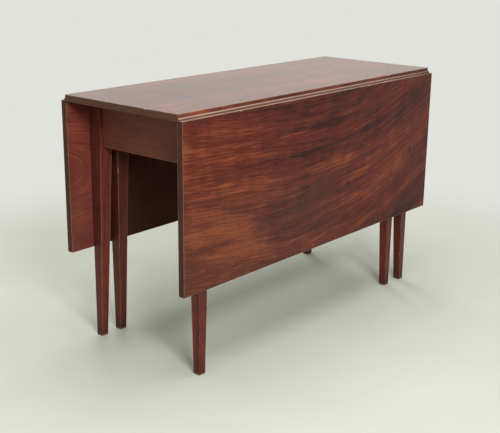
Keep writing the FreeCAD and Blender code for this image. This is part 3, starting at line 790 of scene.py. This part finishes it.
@dataclass
class Apron:
    """The rails that join the legs or swing with them, and the blocks glued behind them.

    Each kind of piece has its timber and the seed of its first board.
    """

    end_pieces: tuple[tuple[str, Wood, float], ...] = (
        ("end_rail", RAIL_WOOD, 30.0),
        ("end_glue_block", SAWN_WOOD, 40.0),
    )
    side_pieces: tuple[tuple[str, Wood, float], ...] = (
        ("inner_rail", SAWN_WOOD, 50.0),
        ("fixed_rail", RAIL_WOOD, 60.0),
        ("fly_rail", RAIL_WOOD, 66.0),
        ("left_glue_block", SAWN_WOOD, 70.0),
        ("right_glue_block", SAWN_WOOD, 75.0),
    )
    seed_step: float = 2.3
    wander: float = 0.006
    arris: RubbingAndHighlight = RubbingAndHighlight(width=0.0018, amount=0.35)

    def dress(self) -> None:
        """Polishes the rails that show and leaves the hidden ones sawn."""
        for places, lay, pieces in ((ENDS, Lay.CROSSWISE, self.end_pieces),
                                    (SIDES, Lay.HANGING, self.side_pieces)):
            for number, place in enumerate(places):
                for kind, wood, seed in pieces:
                    self.dress_rail(f"{place}_{kind}", wood, lay, seed + self.seed_step * number)

    def dress_rail(self, node: str, wood: Wood, lay: Lay, seed: float) -> None:
        """Gives one rail or block its figure and worn arrises.

        Args:
            node: Name of the CAD node.
            wood: Its timber.
            lay: How it lies.
            seed: Shifts its pattern.
        """
        surface = WoodSurface(f"wood_{node}", wood, lay, seed)
        surface.figure(self.wander)
        surface.rub_and_highlight(surface.to_arris(*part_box(node)), self.arris)
        put_on(node, surface.finish())


@dataclass(frozen=True)
class Iron:
    """Dark wrought iron with brown rust in patches, which are duller and less like metal."""

    dark: Colour = shade(58, 54, 52)
    rust: Colour = shade(98, 60, 40)
    grit: Cloud = Cloud(500.0, 2.0)
    patches: Cloud = Cloud(90.0)
    patch_grit: float = 0.3
    rusty_from: Span = (-0.2, 0.7)
    roughness: float = 0.55
    rust_roughness: float = 0.25
    metal: float = 0.7
    metal_lost: float = 0.6
    relief: float = 0.0001
    relief_strength: float = 0.25

    def material(self) -> bpy.types.Material:
        """Pitted iron, duller and browner where it is rusty."""
        surface = Surface("dark_iron")
        nodes = surface.nodes
        grit = surface.cloud(self.grit)
        rusty = (surface.cloud(self.patches) + grit * self.patch_grit).rise(*self.rusty_from)
        bump = nodes.add("ShaderNodeBump", None, {
            "Strength": self.relief_strength, "Distance": self.relief, "Height": grit,
        })
        return surface.close(nodes.add("ShaderNodeBsdfPrincipled", None, {
            "Base Color": nodes.mix(rusty, self.dark, self.rust),
            "Roughness": self.roughness + rusty * self.rust_roughness,
            "Metallic": self.metal - rusty * self.metal_lost,
            "Normal": bump.outputs[0],
        }))


@dataclass(frozen=True)
class Screw:
    """One size of countersunk screw with a slotted head.

    Head and shank are radii, and the slot is half its width, all in metres. The slot's margin is a share of
    the slot, and straight and tip are shares of the length and of the shank. The head's face has so many
    columns of points on each side of the slot, and so many rows along it.
    """

    head: float
    shank: float
    length: float
    slot: float = 0.00035
    slot_margin: float = 1.5
    slot_depth: float = 0.0007
    straight: float = 0.8
    tip: float = 0.15
    columns: int = 6
    rows: int = 5

    def face(self) -> np.ndarray:
        """The head's round face, with a slot across it.

        A grid of columns set across the slot, where each column reaches from rim to rim, so that
        y = t * sqrt(head^2 - x^2) for t from -1 to 1, and the two columns on the slot's floor lie
        deeper than the rest.

        Returns:
            The points of the grid, columns first.
        """
        half = np.cos(np.linspace(np.pi / 2, 0.0, self.columns + 1)[1:]) * self.head
        half = np.maximum(half, self.slot * self.slot_margin)
        across = np.concatenate((-half[::-1], (-self.slot, -self.slot, self.slot, self.slot), half))
        depth = np.zeros_like(across)
        depth[self.columns + 1:self.columns + 3] = self.slot_depth
        reach = np.sqrt(np.maximum(self.head ** 2 - across ** 2, 0.0))
        along = np.linspace(-1.0, 1.0, self.rows)
        points = np.empty((len(across), len(along), 3))
        points[:, :, 0] = across[:, None]
        points[:, :, 1] = reach[:, None] * along[None, :]
        points[:, :, 2] = depth[:, None]
        return points

    def stem(self, face: np.ndarray) -> np.ndarray:
        """Cone and shank: the rim of the face carried inwards along the screw.

        Each ring keeps the rim's angles, and its radius and depth follow the profile of a countersunk
        screw from rim to shank to point.

        Args:
            face: Points of the head's face.

        Returns:
            The points of the rings, rim first.
        """
        rim = np.concatenate((face[:, -1], face[::-1, 0]))
        angle = np.arctan2(rim[:, 1], rim[:, 0])
        radius = np.array((self.shank, self.shank, self.shank * self.tip))
        depth = np.array((self.head - self.shank, self.length * self.straight, self.length))
        rings = np.empty((len(radius), len(rim), 3))
        rings[:, :, 0] = radius[:, None] * np.cos(angle)[None, :]
        rings[:, :, 1] = radius[:, None] * np.sin(angle)[None, :]
        rings[:, :, 2] = depth[:, None]
        return np.concatenate((rim[None], rings))


HINGE_SCREW = Screw(head=0.0028, shank=0.0015, length=0.013)
FRAME_SCREW = Screw(head=0.0041, shank=0.0022, length=0.028)


@dataclass
class ScrewSet:
    """The screws of one CAD node, made as one piece in its place, with angles in radians."""

    node: str
    body: str
    screw: Screw
    heads: tuple[Triple, ...]
    into: Triple
    first_turn: float = 0.7
    turn_step: float = 1.9

    def turns(self) -> np.ndarray:
        """Axes of each screw: across its slot, along its slot, and into the wood.

        Returns:
            Three axes for each screw.
        """
        into = np.array(self.into)
        first = np.cross(into, (0.0, 1.0, 0.0) if into[2] else (0.0, 0.0, 1.0))
        second = np.cross(into, first)
        turn = self.first_turn + self.turn_step * np.arange(len(self.heads))
        x_axis = np.cos(turn)[:, None] * first + np.sin(turn)[:, None] * second
        return np.stack((x_axis, np.cross(into, x_axis), np.broadcast_to(into, x_axis.shape)), axis=1)

    def build(self) -> bpy.types.Object:
        """Makes all the screws of the set as one piece, each slot turned its own way.

        Returns:
            The piece, riding on its body in place of the CAD node.
        """
        face = self.screw.face()
        stem = self.screw.stem(face)
        one = np.concatenate((face.reshape(-1, 3), stem.reshape(-1, 3)))
        quads = np.concatenate((
            grid_faces(*face.shape[:2], 0, False),
            grid_faces(*stem.shape[:2], face.shape[0] * face.shape[1], True),
        ))
        tip = np.arange(len(one) - stem.shape[1], len(one))
        points = np.einsum("pk,skc->spc", one, self.turns()) + np.array(self.heads)[:, None, :]
        step = len(one) * np.arange(len(self.heads))
        faces = (quads[None] + step[:, None, None]).reshape(-1, 4).tolist()
        faces += (tip[None] + step[:, None]).tolist()
        piece = mesh_piece(self.node.replace("screws", "slotted_screws"), points.reshape(-1, 3), faces)
        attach(piece, self.body)
        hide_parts(self.node)
        return piece


def grid_faces(rows: int, columns: int, start: int, closed: bool) -> np.ndarray:
    """Numbers of the four points of each face of a grid.

    Args:
        rows, columns: Points each way.
        start: Number of the first point.
        closed: Whether the last column joins the first.

    Returns:
        One row of four numbers for each face.
    """
    faces_across = columns if closed else columns - 1
    row, column = np.meshgrid(np.arange(rows - 1), np.arange(faces_across), indexing="ij")
    after = (column + 1) % columns
    here, beyond = row * columns, (row + 1) * columns
    corners = (here + column, here + after, beyond + after, beyond + column)
    return np.stack([corner.ravel() for corner in corners], axis=1) + start


def mesh_piece(name: str, points: np.ndarray, faces: list[list[int]]) -> bpy.types.Object:
    """Puts points and faces into a new piece, closes its seams and turns its faces outwards.

    Args:
        name: Name of the piece.
        points: Its points, in metres.
        faces: The point numbers of each face.

    Returns:
        The new object.
    """
    mesh = bpy.data.meshes.new(name)
    mesh.from_pydata(points.tolist(), [], faces)
    work = bmesh.new()
    work.from_mesh(mesh)
    bmesh.ops.remove_doubles(work, verts=work.verts, dist=WELD)
    bmesh.ops.dissolve_degenerate(work, edges=work.edges, dist=SLIVER)
    bmesh.ops.recalc_face_normals(work, faces=work.faces)
    work.to_mesh(mesh)
    work.free()
    piece = bpy.data.objects.new(name, mesh)
    bpy.context.scene.collection.objects.link(piece)
    return piece


@dataclass
class Ironwork:
    """Hinge plates, pins and screws, with the places of the screws in metres."""

    iron: Iron = Iron()
    hinge_x: float = 0.401
    plate_screw_aside: float = 0.0112
    top_plate_y: float = 0.19192
    underside: float = 0.705
    leaf_inner: float = 0.2102
    leaf_plate_heights: Span = (0.6768, 0.6551)
    rail_inner: float = 0.167
    rail_middle: float = 0.6385
    rail_screw_x: Span = (0.05365, 0.39735)
    pocket_y: float = 0.1725
    pocket_seat: float = 0.689
    pocket_x: float = 0.33912

    def screw_sets(self, side: str) -> list[ScrewSet]:
        """The four sets of screws on one side of the table.

        Args:
            side: front or back.

        Returns:
            The sets.
        """
        out = -1.0 if side == "front" else 1.0
        up, outwards = (0.0, 0.0, 1.0), (0.0, out, 0.0)
        hinges = (-self.hinge_x, self.hinge_x)
        pairs = [x + aside for x in hinges for aside in (-self.plate_screw_aside, self.plate_screw_aside)]
        high, low = self.leaf_plate_heights
        rows = ((low, pairs), (high, hinges))
        pockets = (-self.pocket_x, 0.0, self.pocket_x)
        under_top = tuple((x, out * self.top_plate_y, self.underside) for x in pairs)
        on_leaf = tuple((x, out * self.leaf_inner, z) for z, row in rows for x in row)
        in_rail = tuple((out * x, out * self.rail_inner, self.rail_middle) for x in self.rail_screw_x)
        in_pockets = tuple((x, out * self.pocket_y, self.pocket_seat) for x in pockets)
        return [
            ScrewSet(f"{side}_top_plate_screws", "frame", HINGE_SCREW, under_top, up),
            ScrewSet(f"{side}_leaf_plate_screws", f"{side}_leaf", HINGE_SCREW, on_leaf, outwards),
            ScrewSet(f"{side}_rail_screws", "frame", FRAME_SCREW, in_rail, outwards),
            ScrewSet(f"{side}_top_screws", "frame", FRAME_SCREW, in_pockets, up),
        ]

    def dress(self) -> None:
        """Makes the screws and gives every iron piece the same iron."""
        iron = self.iron.material()
        for side in SIDES:
            for screws in self.screw_sets(side):
                piece = screws.build()
                piece.data.materials.append(iron)
                LOG.info("made %s in place of %s", piece.name, screws.node)
        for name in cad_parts:
            if name.endswith(("_plate", "_pin")):
                put_on(name, iron)


@dataclass
class Lamp:
    """One soft square lamp: its place, what it points at, its size and power."""

    name: str
    place: Triple
    aim: Triple
    size: float
    power: float

    def build(self) -> None:
        """Hangs the lamp and turns it to its aim, unseen in the polish, which mirrors the pale studio."""
        light = bpy.data.lights.new(self.name, "AREA")
        light.size = self.size
        light.energy = self.power
        lamp = bpy.data.objects.new(self.name, light)
        lamp.location = self.place
        lamp.visible_glossy = False
        lamp.rotation_euler = (Vector(self.aim) - Vector(self.place)).to_track_quat("-Z", "Y").to_euler()
        bpy.context.scene.collection.objects.link(lamp)


@dataclass
class Studio:
    """Floor, light and camera, with lengths in metres.

    The floor fades into the backdrop between two squares of the distance from the table.
    """

    floor_half: float = 30.0
    floor_colour: Colour = shade(203, 206, 192)
    floor_stain: Colour = shade(150, 150, 136)
    floor_stained: float = 0.16
    floor_mottle: Cloud = Cloud(3.0, 6.0, 0.6, mean=0.5, spread=0.5)
    floor_roughness: float = 0.85
    floor_specular: float = 0.2
    floor_fades: Span = (0.6, 3.2)
    backdrop: Colour = shade(226, 226, 221)
    white: Colour = shade(255, 255, 255)
    sky: float = 0.26
    lamps: tuple[Lamp, ...] = (
        Lamp("key_lamp", (-1.9, -2.8, 2.2), (0.0, 0.0, 0.5), 1.2, 106.0),
        Lamp("top_lamp", (0.0, 0.0, 3.2), (0.0, 0.0, 0.0), 3.0, 82.0),
        Lamp("end_lamp", (-3.2, -0.6, 1.5), (0.0, 0.0, 0.4), 1.4, 4.0),
        Lamp("back_lamp", (1.9, 2.8, 2.2), (0.0, 0.0, 0.5), 1.4, 36.0),
    )
    camera_place: Triple = (-2.20507, -1.81412, 1.14345)
    camera_right: Triple = (0.64955888, -0.76023771, 0.01057759)
    camera_down: Triple = (-0.20913259, -0.19202709, -0.95884783)
    camera_forward: Triple = (0.73098346, 0.620616, -0.28372338)
    sensor_mm: float = 36.0
    lens_mm: float = 68.285
    shift: Span = (0.001447, -0.003449)

    def build(self) -> None:
        """Lays the floor, lights it and sets up the camera."""
        self.lay_floor()
        self.light()
        self.aim_camera()

    def lay_floor(self) -> None:
        """Lays a level square floor, a grid of two by two points, in pale mottled grey."""
        edges = (-self.floor_half, self.floor_half)
        across, deep = np.meshgrid(edges, edges)
        points = np.stack((across.ravel(), deep.ravel(), np.zeros(across.size)), axis=1)
        floor = mesh_piece("floor", points, grid_faces(2, 2, 0, False).tolist())
        surface = Surface("pale_floor")
        nodes = surface.nodes
        mottle = surface.cloud(self.floor_mottle) * self.floor_stained
        shader = nodes.add("ShaderNodeBsdfPrincipled", None, {
            "Base Color": nodes.mix(mottle, self.floor_colour, self.floor_stain),
            "Roughness": self.floor_roughness, "Specular IOR Level": self.floor_specular,
        })
        pale = nodes.add("ShaderNodeEmission", None, {"Color": self.backdrop, "Strength": 1.0})
        x, y = surface.axes["X"], surface.axes["Y"]
        far = (x * x + y * y).rise(*self.floor_fades) * nodes.seen()
        floor.data.materials.append(surface.close(
            nodes.add("ShaderNodeMixShader", None, {0: far, 1: shader.outputs[0], 2: pale.outputs[0]})))

    def light(self) -> None:
        """Sets an even pale sky, which mirrors show as the backdrop, and hangs the lamps."""
        world = bpy.data.worlds.new("studio")
        world.use_nodes = True
        nodes = Nodes(world.node_tree)
        even = nodes.add("ShaderNodeBackground", None, {"Color": self.white, "Strength": self.sky})
        pale = nodes.add("ShaderNodeBackground", None, {"Color": self.backdrop, "Strength": 1.0})
        sky = nodes.add("ShaderNodeMixShader", None,
                        {0: nodes.seen(), 1: even.outputs[0], 2: pale.outputs[0]})
        nodes.add("ShaderNodeOutputWorld", None, {"Surface": sky.outputs[0]})
        bpy.context.scene.world = world
        for lamp in self.lamps:
            lamp.build()

    def aim_camera(self) -> None:
        """Puts the camera where the photograph was taken from."""
        data = bpy.data.cameras.new("camera")
        data.sensor_fit = "HORIZONTAL"
        data.sensor_width = self.sensor_mm
        data.lens = self.lens_mm
        data.shift_x, data.shift_y = self.shift
        camera = bpy.data.objects.new("camera", data)
        axes = (Vector(self.camera_right), -Vector(self.camera_down), -Vector(self.camera_forward))
        camera.matrix_world = Matrix.Translation(self.camera_place) @ Matrix(axes).transposed().to_4x4()
        bpy.context.scene.collection.objects.link(camera)
        bpy.context.scene.camera = camera


FRONT_MARKS: tuple[Mark, ...] = (
    # Pale patches
    Mark(-0.39, 0.405, 0.12, 0.034, 0.34),
    Mark(-0.43, 0.320, 0.12, 0.030, 0.24),
    Mark(-0.31, 0.330, 0.10, 0.050, 0.22),
    Mark(-0.56, 0.420, 0.12, 0.070, 0.12),
    Mark(-0.50, 0.535, 0.20, 0.045, 0.20),
    Mark(-0.56, 0.600, 0.12, 0.080, 0.08),
    Mark(-0.40, 0.662, 0.14, 0.030, 0.22),
    Mark(-0.27, 0.495, 0.12, 0.040, 0.10),
    Mark(0.05, 0.495, 0.13, 0.040, 0.24),
    Mark(0.40, 0.440, 0.14, 0.050, 0.16),
    # Dark clouds
    Mark(-0.06, 0.380, 0.30, 0.100, -0.24),
    Mark(0.06, 0.580, 0.30, 0.080, -0.16),
    Mark(0.24, 0.415, 0.13, 0.040, -0.10),
    Mark(0.36, 0.615, 0.22, 0.060, -0.22),
    Mark(0.51, 0.300, 0.18, 0.060, -0.18),
    Mark(0.52, 0.640, 0.16, 0.080, -0.22),
    # A dark streak and two small knots
    Mark(0.02, 0.620, 0.13, 0.014, -0.26),
    Mark(0.12, 0.417, 0.015, 0.007, -0.50),
    Mark(0.476, 0.470, 0.010, 0.012, -0.50),
)

LEAVES: tuple[DropLeaf, ...] = (
    DropLeaf("front", FIGURED_LEAF, 4.0, Cut.SWEPT, turn=-0.141, sag=0.2, fan=0.1, marks=FRONT_MARKS),
    DropLeaf("back", ARCHED_LEAF, 23.0, Cut.ARCHED, turn=-0.75, heart=0.50, wander=0.024),
)

LEGS: tuple[TaperedLeg, ...] = (
    TaperedLeg("left_front_leg", 10.0, Taper.TWO_FACES),
    TaperedLeg("right_front_leg", 13.7, Taper.TWO_FACES, darkened=0.35),
    # Painted shade on this leg's outer end face.
    TaperedLeg("left_back_leg", 17.4, Taper.TWO_FACES, painted_shade_end=0.35),
    TaperedLeg("right_back_leg", 21.1, Taper.TWO_FACES, darkened=0.15),
    TaperedLeg("front_swing_leg", 81.0, Taper.THREE_FACES),
    # Painted shade: the whole back swing leg darkened as though it stood in shadow.
    TaperedLeg("back_swing_leg", 86.3, Taper.THREE_FACES, darkened=0.3),
)


def main() -> None:
    """Builds and dresses the table piece by piece, then the studio around it."""
    logging.basicConfig(level=logging.INFO, format="%(message)s")
    bpy.context.scene.view_settings.view_transform = "Standard"
    for piece in (FixedTop(), *LEAVES, *LEGS, Apron(), Ironwork()):
        piece.dress()
    Studio().build()


if __name__ == "__main__":
    main()
